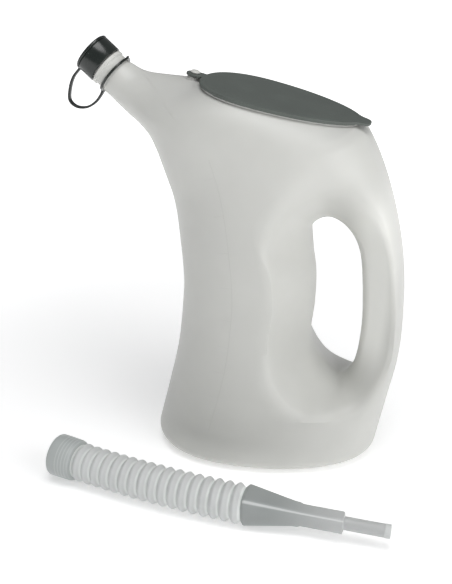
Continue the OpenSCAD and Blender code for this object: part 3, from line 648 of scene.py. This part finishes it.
# Path of the flexible spout on the floor
HOSE_START, HOSE_TURN = np.array([-139.1, -108.7]), -8.8
BELLOWS_L = RING_N * RING_PITCH + 3.6
HOSE_END = COLLAR_L + BELLOWS_L
NOZZLE_AT = HOSE_END + REDUCER_L
TIP_AT = NOZZLE_AT + NOZZLE_L
BEND_LEN = BELLOWS_L / math.radians(BELLOWS_A)
HOSE_SLOPE = (COLLAR_D - CREST_D) / 2 / BELLOWS_L


def hose_at(s):
    """Middle line of the flexible spout: straight, an arc along the bellows, straight."""
    a = np.radians(HOSE_TURN + BELLOWS_A * np.clip((s - COLLAR_L) / BELLOWS_L, 0, 1))
    a0 = math.radians(HOSE_TURN)
    first, last = np.minimum(s, COLLAR_L), np.maximum(0, s - HOSE_END)
    x = first * math.cos(a0) + BEND_LEN * (np.sin(a) - math.sin(a0)) + last * np.cos(a)
    y = first * math.sin(a0) + BEND_LEN * (math.cos(a0) - np.cos(a)) + last * np.sin(a)
    x, y = x + HOSE_START[0], y + HOSE_START[1]
    z = COLLAR_D / 2 - (np.clip(s, COLLAR_L, HOSE_END) - COLLAR_L) * HOSE_SLOPE
    return np.stack([x, y, z], -1), a


def bellows(w):
    """Rows of the bellows: round rings that meet in sharp grooves. The radius falls from
    the ring's middle with a power of the distance."""
    f = np.arange(0, RING_N * 12) / 12
    fall = np.abs(2 * (f % 1) - 1) ** 1.6
    r = CREST_D / 2 - (CREST_D - GROOVE_D) / 2 * fall - w
    return np.stack([COLLAR_L + 0.6 + f * RING_PITCH, r, np.full_like(f, 2)], -1)


def reducer(w):
    """Rows of the square reducer: half width and squareness along the length, a straight
    taper that runs softly into the nozzle."""
    f = np.linspace(0, 1, 15) ** 0.8
    half = NOZZLE_W / 2 + (REDUCER_W - NOZZLE_W) / 2 * (1 - f) - w
    half = half + 0.5 * np.exp(-(((1 - f) / 0.1) ** 2)) - 0.5 * (f == 1)
    return np.stack([HOSE_END + 0.8 + f * (REDUCER_L - 0.8), half, np.full_like(f, 5)], -1)


def spout_shell():
    """Flexible spout: collar, bellows, reducer, nozzle and tip as rings of length, half
    width and squareness along a path, the outside first and then the inside back."""
    shell = Shell()
    groove = GROOVE_D / 2
    tip_end = TIP_AT + TIP_L
    outside = [
        (0, COLLAR_BORE / 2 + 0.6, 2), (0, COLLAR_D / 2 - 0.7, 2), (0.25, COLLAR_D / 2 - 0.25, 2),
        (0.8, COLLAR_D / 2, 2), (5, COLLAR_D / 2, 2), (11, COLLAR_D / 2 - 0.1, 2),
        (COLLAR_L - 3, COLLAR_D / 2 - 0.3, 2), (COLLAR_L - 1.6, COLLAR_D / 2 - 0.7, 2),
        (COLLAR_L - 0.7, COLLAR_D / 2 - 1.5, 2), (COLLAR_L - 0.1, groove + 2, 2),
        *bellows(0),
        (HOSE_END - 3, groove, 2), (HOSE_END - 2.2, groove + 0.3, 2.6),
        (HOSE_END - 1, REDUCER_W / 2 - 0.6, 4), (HOSE_END - 0.3, REDUCER_W / 2 - 0.15, 5),
        *reducer(0),
        (TIP_AT - 12, NOZZLE_W / 2, 5), (TIP_AT - 1, NOZZLE_W / 2, 5),
        (TIP_AT - 0.3, NOZZLE_W / 2 - 0.25, 5), (TIP_AT, NOZZLE_W / 2 - 0.9, 4.5),
        (TIP_AT, TIP_D / 2 + 0.5, 2), (TIP_AT + 0.4, TIP_D / 2, 2), (TIP_AT + 15, TIP_D / 2, 2),
        (tip_end - 4.2, TIP_D / 2, 2), (tip_end - 3.9, TIP_D / 2 + 0.25, 2),
        (tip_end - 0.4, TIP_D / 2 + 0.25, 2), (tip_end, TIP_D / 2 - 0.1, 2)]
    inside = [
        (0.4, COLLAR_BORE / 2, 2), (5, COLLAR_BORE / 2, 2), (COLLAR_L - 1.6, COLLAR_BORE / 2, 2),
        (COLLAR_L - 1.6, groove - BELLOWS_WALL, 2), *bellows(BELLOWS_WALL),
        (HOSE_END - 3, groove - BELLOWS_WALL, 2), (HOSE_END + 0.6, REDUCER_W / 2 - 1.4, 5),
        *reducer(1.3), (TIP_AT - 1.5, NOZZLE_W / 2 - 1.3, 5), (TIP_AT - 1.5, TIP_BORE / 2, 2),
        (TIP_AT + 10, TIP_BORE / 2, 2), (tip_end, TIP_BORE / 2, 2)]
    rows = np.array(outside + inside[::-1], float)
    centre, heading = hose_at(rows[:, 0])
    a = np.linspace(0, 2 * np.pi, 73)
    a[-1] = 0
    u, v = np.cos(a)[None], np.sin(a)[None]
    power = rows[:, 2:3]
    r = rows[:, 1:2] / (np.abs(u) ** power + np.abs(v) ** power) ** (1 / power)
    x = centre[:, :1] - np.sin(heading)[:, None] * r * u
    y = centre[:, 1:2] + np.cos(heading)[:, None] * r * u
    z = centre[:, 2:] + r * v
    place = np.stack([rows[:, :1] / 100 + 0 * r, a[None] / (2 * np.pi) + 0 * r], -1)
    shell.grid(np.stack([x, y, z], -1), flip=False, wrap=True, uv=place)
    return shell


# ---- Materials

class Value:
    """A number socket that can be used in sums."""

    def __init__(self, paint, socket):
        self.paint, self.socket = paint, socket

    def _math(self, operation, *values):
        return self.paint.node("ShaderNodeMath", {"operation": operation},
                               dict(enumerate(values)))

    def __add__(self, other):
        return self._math("ADD", self, other)

    def __sub__(self, other):
        return self._math("SUBTRACT", self, other)

    def __rsub__(self, other):
        return self._math("SUBTRACT", other, self)

    def __mul__(self, other):
        return self._math("MULTIPLY", self, other)

    def __abs__(self):
        return self._math("ABSOLUTE", self)

    def __lt__(self, other):
        return self._math("LESS_THAN", self, other)

    def __gt__(self, other):
        return self._math("GREATER_THAN", self, other)

    __radd__, __rmul__ = __add__, __mul__

    def wave(self, period):
        """Distance to the nearest multiple of a period."""
        return self._math("PINGPONG", self, period / 2)

    def ramp(self, low, high, start=0.0, end=1.0):
        return self.paint.node("ShaderNodeMapRange", {"interpolation_type": "SMOOTHSTEP"},
                               {0: self, 1: low, 2: high, 3: start, 4: end})


class Paint:
    """A material's node tree, with one method that adds any node."""

    def __init__(self, name):
        self.material = bpy.data.materials.new(name)
        self.material.use_nodes = True
        self.tree = self.material.node_tree
        self.shader = self.tree.nodes["Principled BSDF"]

    def node(self, kind, settings=None, inputs=None, output=0):
        node = self.tree.nodes.new(kind)
        for key, value in (settings or {}).items():
            if key == "stops":
                ramp = node.color_ramp
                while len(ramp.elements) < len(value):
                    ramp.elements.new(0.5)
                for element, (place, colour) in zip(ramp.elements, value):
                    element.position, element.color = place, colour
            else:
                setattr(node, key, value)
        for key, value in (inputs or {}).items():
            if isinstance(value, Value):
                self.tree.links.new(value.socket, node.inputs[key])
            else:
                node.inputs[key].default_value = value
        return Value(self, node.outputs[output])

    def set(self, **sockets):
        for key, value in sockets.items():
            socket = self.shader.inputs[key.replace("_", " ")]
            if isinstance(value, Value):
                self.tree.links.new(value.socket, socket)
            else:
                socket.default_value = value

    def object_place(self):
        return self.node("ShaderNodeTexCoord", output="Object")

    def uv_place(self):
        uv = self.node("ShaderNodeUVMap", {"uv_map": "Surface"})
        split = self.node("ShaderNodeSeparateXYZ", inputs={0: uv})
        return split, Value(self, split.socket.node.outputs[1])

    def noise(self, scale, detail=3.0, rough=0.5, place=None):
        return self.node("ShaderNodeTexNoise", inputs={
            "Vector": place or self.object_place(), "Scale": scale, "Detail": detail,
            "Roughness": rough})

    def mix(self, share, a, b):
        return self.node("ShaderNodeMix", {"data_type": "RGBA"}, {0: share, 6: a, 7: b}, 2)

    def bump(self, height, strength, distance):
        return self.node("ShaderNodeBump", inputs={
            "Strength": strength, "Distance": distance, "Height": height})


def shade(colour, factor):
    """Colour made darker or paler, with its alpha."""
    return tuple(min(1, c * factor) for c in colour[:3]) + (1.0,)


def milky_plastic(props):
    """Blown milky plastic: cloudy thickness, fine grain, moulding seam, faint graduation, and
    painted light that makes the handle paler.
    """
    paint = Paint("milky_plastic")
    cloud = paint.noise(14.0, 3.0, 0.55)
    grain = paint.noise(900.0, 2.0, 0.6)
    place = paint.object_place()
    split = paint.node("ShaderNodeSeparateXYZ", inputs={0: place})
    across = Value(paint, split.socket.node.outputs[1])
    seam = abs(across).ramp(0.0, 0.0009, 1.0, 0.0)
    from_front, along = paint.uv_place()
    near = across < -0.02
    # Graduation strip: a fine line with level strokes, each in its own height
    strip = abs(from_front - 0.545).ramp(0.0, 0.006, 1.0, 0.0)
    stroke = along.wave(0.22).ramp(0.0, 0.006, 1.0, 0.0)
    beside = abs(from_front - 0.5).ramp(0.04, 0.045, 0.5, 0.0)
    span = (along > 0.35) * (along < 2.3)
    marks = (strip + stroke * beside) * span * near
    colour = paint.mix(cloud.ramp(0.35, 0.7), shade(props.colour, 0.965), shade(props.colour, 1.02))
    # Painted light: the handle's colour is painted paler where its thin wall would let more light
    # through
    handle = (from_front.ramp(1.3, 1.5) * from_front.ramp(1.58, 1.7, 1.0, 0.0)
              * along.ramp(0.7, 1.1) * along.ramp(1.7, 1.95, 1.0, 0.0))
    colour = paint.mix(handle, colour, shade(props.colour, 1.36))
    colour = paint.mix(marks * props.marks, colour, shade(props.colour, 0.8))
    height = cloud * 0.35 + grain * 0.05 + seam * 0.5 + marks * 0.5
    paint.set(Base_Color=colour, Roughness=grain.ramp(0.3, 0.7, props.roughness - 0.04,
                                                      props.roughness + 0.05),
              Normal=paint.bump(height, 0.35, 0.0006), Subsurface_Weight=0.18,
              Subsurface_Scale=0.004, IOR=1.5)
    paint.shader.inputs["Subsurface Radius"].default_value = (1.0, 1.0, 0.9)
    return paint.material


def soft_grey(props):
    """Matt soft plastic of the lid: fine eroded grain and a little dust in the tone."""
    paint = Paint("soft_grey_plastic")
    cloud = paint.noise(35.0, 4.0, 0.6)
    grain = paint.noise(2200.0, 2.0, 0.6)
    colour = paint.mix(cloud.ramp(0.3, 0.75), shade(props.colour, 0.93), shade(props.colour, 1.08))
    paint.set(Base_Color=colour, Roughness=grain.ramp(0.3, 0.7, props.roughness - 0.05,
                                                      props.roughness + 0.06),
              Normal=paint.bump(grain * 0.5 + cloud * 0.4, 0.3, 0.0003))
    return paint.material


def dark_plastic(props):
    """Satin dark plastic of the cap and tether, with fine rubbing marks."""
    paint = Paint("dark_plastic")
    cloud = paint.noise(60.0, 4.0, 0.6)
    grain = paint.noise(1600.0, 2.0, 0.6)
    colour = paint.mix(cloud.ramp(0.35, 0.75), shade(props.colour, 0.9), shade(props.colour, 1.15))
    paint.set(Base_Color=colour, Roughness=cloud.ramp(0.3, 0.8, props.roughness - 0.05,
                                                      props.roughness + 0.08),
              Normal=paint.bump(grain, 0.15, 0.0002))
    return paint.material


def frosted_plastic(props):
    """Frosted clear plastic of the flexible spout. It is cloudy, with painted highlights as paler
    lines along its grooves and square edges and a painted glow in the grooves, and the collar's
    inner thread shows through as faint rings."""
    paint = Paint("frosted_plastic")
    cloud = paint.noise(45.0, 3.0, 0.55)
    grain = paint.noise(1500.0, 2.0, 0.6)
    length, around = paint.uv_place()
    s = length * 100
    on_bellows = (s > COLLAR_L) * (s < HOSE_END - 2)
    on_square = (s > HOSE_END - 1) * (s < TIP_AT)
    # Masks of the painted highlights and glow: the bellows' grooves and the reducer's and nozzle's
    # square edges
    groove = (s - (COLLAR_L + 0.6)).wave(RING_PITCH).ramp(0.3, 1.5, 1.0, 0.0) * on_bellows
    edge = (around - 0.125).wave(0.25).ramp(0.004, 0.018, 1.0, 0.0) * on_square
    thread = s.wave(2.8).ramp(0.1, 0.7, 0.35, 0.0) * (s > 7) * (s < COLLAR_L - 1)
    rim = s.ramp(TIP_AT + TIP_L - 4.3, TIP_AT + TIP_L - 4.0, 0.0, 0.5)
    c = props.colour
    cold = (c[0] * 0.96, c[1], c[2] * 0.99)
    tube = paint.mix(s.ramp(NOZZLE_AT - 25, TIP_AT), shade(cold, 0.52), shade(c, 0.78))
    tube = paint.mix(s < COLLAR_L, tube, shade(cold, 0.66))
    base = paint.mix(on_bellows, tube, shade(c, 0.9))
    base = paint.mix(cloud.ramp(0.3, 0.75, 0.2, 0.0), base, shade(c, 0.7))
    # Painted highlights: the grooves and square edges are painted paler; the thread rings and the
    # band at the tip's end are paler too
    colour = paint.mix(groove * 0.7 + edge * 0.8 + thread + rim, base, (0.93, 0.95, 0.94, 1))
    # Painted light: the emission makes the grooves glow faintly
    paint.set(Base_Color=colour, Roughness=grain.ramp(0.3, 0.7, props.roughness - 0.05,
                                                      props.roughness + 0.06),
              Normal=paint.bump(grain * 0.4 + cloud, 0.25, 0.0003),
              Transmission_Weight=props.clearness, IOR=1.4, Emission_Strength=1.0,
              Emission_Color=paint.mix(groove, (0, 0, 0, 1), (0.09, 0.095, 0.09, 1)))
    return paint.material


# ---- Properties

def colour_property(name, default):
    return bpy.props.FloatVectorProperty(
        name=name, description="Colour of the plastic, linear", subtype="COLOR", size=3,
        min=0, max=1, default=default)


def roughness_property(default):
    return bpy.props.FloatProperty(
        name="Roughness", description="How matt the surface is", subtype="FACTOR",
        min=0, max=1, default=default)


class JugBodyProps(bpy.types.PropertyGroup):
    colour: colour_property("Body colour", (0.57, 0.572, 0.545))
    roughness: roughness_property(0.42)
    marks: bpy.props.FloatProperty(
        name="Graduation", description="How strongly the graduation shows", subtype="FACTOR",
        min=0, max=1, default=0.3)


class JugLidProps(bpy.types.PropertyGroup):
    colour: colour_property("Lid colour", (0.082, 0.095, 0.085))
    roughness: roughness_property(0.55)


class JugCapProps(bpy.types.PropertyGroup):
    colour: colour_property("Cap colour", (0.012, 0.016, 0.014))
    roughness: roughness_property(0.24)


class JugSpoutProps(bpy.types.PropertyGroup):
    colour: colour_property("Spout colour", (0.87, 0.885, 0.88))
    roughness: roughness_property(0.38)
    clearness: bpy.props.FloatProperty(
        name="Clearness", description="Share of light that passes through", subtype="FACTOR",
        min=0, max=1, default=0.35)


class JugStageProps(bpy.types.PropertyGroup):
    azimuth: bpy.props.FloatProperty(
        name="Azimuth", description="Direction of the camera about the jug",
        subtype="ANGLE", default=math.radians(18.0))
    elevation: bpy.props.FloatProperty(
        name="Elevation", description="Height of the camera's direction",
        subtype="ANGLE", default=math.radians(24.5))
    distance: bpy.props.FloatProperty(
        name="Distance", description="Distance of the camera from its target",
        subtype="DISTANCE", unit="LENGTH", default=0.7)
    lens: bpy.props.FloatProperty(
        name="Lens", description="Focal length for a 36 mm wide sensor", default=68.496)


# ---- Operators

class JUG_OT_body(bpy.types.Operator):
    """Blown body with its neck and stud"""

    bl_idname = "jug.body"
    bl_label = "Body"

    def execute(self, context):
        piece = body_shell().make("Jug_body", 38)
        piece.data.materials.append(milky_plastic(context.scene.jug_body))
        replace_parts(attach(piece, "jug"), "jug_body")
        return {"FINISHED"}


class JUG_OT_lid(bpy.types.Operator):
    """Lid and ear, one moulding joined by a thin hinge strip"""

    bl_idname = "jug.lid"
    bl_label = "Lid"

    def execute(self, context):
        piece = lid_shell().make("Lid", 40)
        piece.data.materials.append(soft_grey(context.scene.jug_lid))
        start, end = (lid_place((HINGE_A + d, 0, LID_TOP)) * MM for d in (-0.35, 0.35))
        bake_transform(piece)
        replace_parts(piece, "lid", "lid_ear")
        return {"FINISHED"}


class JUG_OT_cap(bpy.types.Operator):
    """Screw cap"""

    bl_idname = "jug.cap"
    bl_label = "Cap"

    def execute(self, context):
        piece = cap_shell().make("Spout_cap", 35)
        piece.data.materials.append(dark_plastic(context.scene.jug_cap))
        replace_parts(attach(piece, "cap"), "spout_cap")
        return {"FINISHED"}


class JUG_OT_tether(bpy.types.Operator):
    """Tether that keeps the cap on the jug"""

    bl_idname = "jug.tether"
    bl_label = "Tether"

    def execute(self, context):
        piece = tether_shell().make("Cap_tether", 50)
        piece.data.materials.append(dark_plastic(context.scene.jug_cap))
        start, end = (spout_place((0, 0, v)) * MM for v in (4.0, CAP_SEAT - 1))
        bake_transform(piece)
        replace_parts(piece, "cap_tether")
        return {"FINISHED"}


class JUG_OT_spout(bpy.types.Operator):
    """Flexible spout that lies beside the jug"""

    bl_idname = "jug.spout"
    bl_label = "Flexible spout"

    def execute(self, context):
        piece = spout_shell().make("Flexible_spout", 35)
        piece.data.materials.append(frosted_plastic(context.scene.jug_spout))
        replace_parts(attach(piece, "jug"), "flexible_spout")
        return {"FINISHED"}


# Name, place, size and power of the soft lamps, and the points in metres that they and the
# camera look at
LAMPS = (("Top", (0.1, -0.3, 1.5), 0.9, 9.0), ("Right", (1.15, -0.55, 0.7), 1.2, 8.0))
LAMP_AIM, CAMERA_AIM = Vector((0, 0, 0.16)), Vector((-0.035, 0, 0.125))


def add_lamp(name, place, size, power):
    """Round area lamp that looks at the jug."""
    lamp = bpy.data.lights.new(name, "AREA")
    lamp.shape, lamp.size, lamp.energy = "DISK", size, power
    obj = bpy.data.objects.new(name, lamp)
    obj.location = place
    obj.rotation_euler = (LAMP_AIM - Vector(place)).to_track_quat("-Z", "Y").to_euler()
    bpy.context.scene.collection.objects.link(obj)


def pale_background(tree, shader, output):
    """White as the camera and clear walls see it, and the given shader for the light."""
    nodes, links = tree.nodes, tree.links
    ray = nodes.new("ShaderNodeLightPath")
    glow = nodes.new("ShaderNodeBackground")
    glow.inputs["Color"].default_value = (1, 1, 1, 1)
    glow.inputs["Strength"].default_value = 1.0
    either = nodes.new("ShaderNodeMath")
    either.operation = "MAXIMUM"
    links.new(ray.outputs["Is Camera Ray"], either.inputs[0])
    links.new(ray.outputs["Is Transmission Ray"], either.inputs[1])
    mix = nodes.new("ShaderNodeMixShader")
    links.new(either.outputs[0], mix.inputs[0])
    links.new(shader, mix.inputs[1])
    links.new(glow.outputs[0], mix.inputs[2])
    links.new(mix.outputs[0], output)


class JUG_OT_stage(bpy.types.Operator):
    """Floor, lamps, world and camera"""

    bl_idname = "jug.stage"
    bl_label = "Stage"

    def execute(self, context):
        scene, props = context.scene, context.scene.jug_stage
        mesh = bpy.data.meshes.new("Floor")
        mesh.from_pydata([(-6, -6, 0), (6, -6, 0), (6, 6, 0), (-6, 6, 0)], [], [(0, 1, 2, 3)])
        floor = bpy.data.objects.new("Floor", mesh)
        scene.collection.objects.link(floor)
        floor.location.z = -0.0002
        paint = Paint("floor_white")
        # The floor glows, and more so far out, so that it stays white round the shadow
        far = paint.node("ShaderNodeVectorMath", {"operation": "LENGTH"},
                         {0: paint.object_place()}, "Value")
        glow = paint.mix(far.ramp(0.2, 0.9), (0.34, 0.34, 0.34, 1), (1, 1, 1, 1))
        paint.set(Base_Color=(0.93, 0.93, 0.93, 1), Roughness=0.9, Emission_Color=glow,
                  Emission_Strength=1.0)
        mesh.materials.append(paint.material)

        world = bpy.data.worlds.new("World")
        scene.world = world
        world.use_nodes = True
        background = world.node_tree.nodes["Background"]
        background.inputs["Color"].default_value = (0.97, 0.98, 1.0, 1)
        background.inputs["Strength"].default_value = 0.28
        pale_background(world.node_tree, background.outputs[0],
                        world.node_tree.nodes["World Output"].inputs["Surface"])
        for lamp in LAMPS:
            add_lamp(*lamp)

        camera = bpy.data.cameras.new("Camera")
        camera.sensor_fit, camera.sensor_width = "HORIZONTAL", 36.0
        camera.lens, camera.clip_start, camera.clip_end = props.lens, 0.02, 50
        obj = bpy.data.objects.new("Camera", camera)
        a, e = props.azimuth, props.elevation
        back = Vector((math.sin(a) * math.cos(e), -math.cos(a) * math.cos(e), math.sin(e)))
        obj.location = CAMERA_AIM + back * props.distance
        obj.rotation_euler = (-back).to_track_quat("-Z", "Y").to_euler()
        scene.collection.objects.link(obj)
        scene.camera = obj
        scene.view_settings.view_transform = "Standard"
        return {"FINISHED"}


class JUG_PT_panel(bpy.types.Panel):
    """Every step with its settings, in the sidebar"""

    bl_label = "Measuring jug"
    bl_idname = "JUG_PT_panel"
    bl_space_type = "VIEW_3D"
    bl_region_type = "UI"
    bl_category = "Jug"

    def draw(self, context):
        for operator, props in STEPS:
            box = self.layout.box()
            box.operator(operator.bl_idname)
            group = getattr(context.scene, props)
            for name in group.__annotations__:
                box.prop(group, name)


GROUPS = {"jug_body": JugBodyProps, "jug_lid": JugLidProps, "jug_cap": JugCapProps,
          "jug_spout": JugSpoutProps, "jug_stage": JugStageProps}
STEPS = ((JUG_OT_stage, "jug_stage"), (JUG_OT_body, "jug_body"), (JUG_OT_lid, "jug_lid"),
         (JUG_OT_cap, "jug_cap"), (JUG_OT_tether, "jug_cap"), (JUG_OT_spout, "jug_spout"))
CLASSES = (*GROUPS.values(), *(operator for operator, _ in STEPS), JUG_PT_panel)


def register():
    for cls in CLASSES:
        bpy.utils.register_class(cls)
    for name, group in GROUPS.items():
        setattr(bpy.types.Scene, name, bpy.props.PointerProperty(type=group))


def unregister():
    for name in GROUPS:
        delattr(bpy.types.Scene, name)
    for cls in reversed(CLASSES):
        bpy.utils.unregister_class(cls)


def main():
    register()
    for operator, _ in STEPS:
        getattr(bpy.ops.jug, operator.bl_idname.split(".")[1])()


if __name__ == "__main__":
    main()
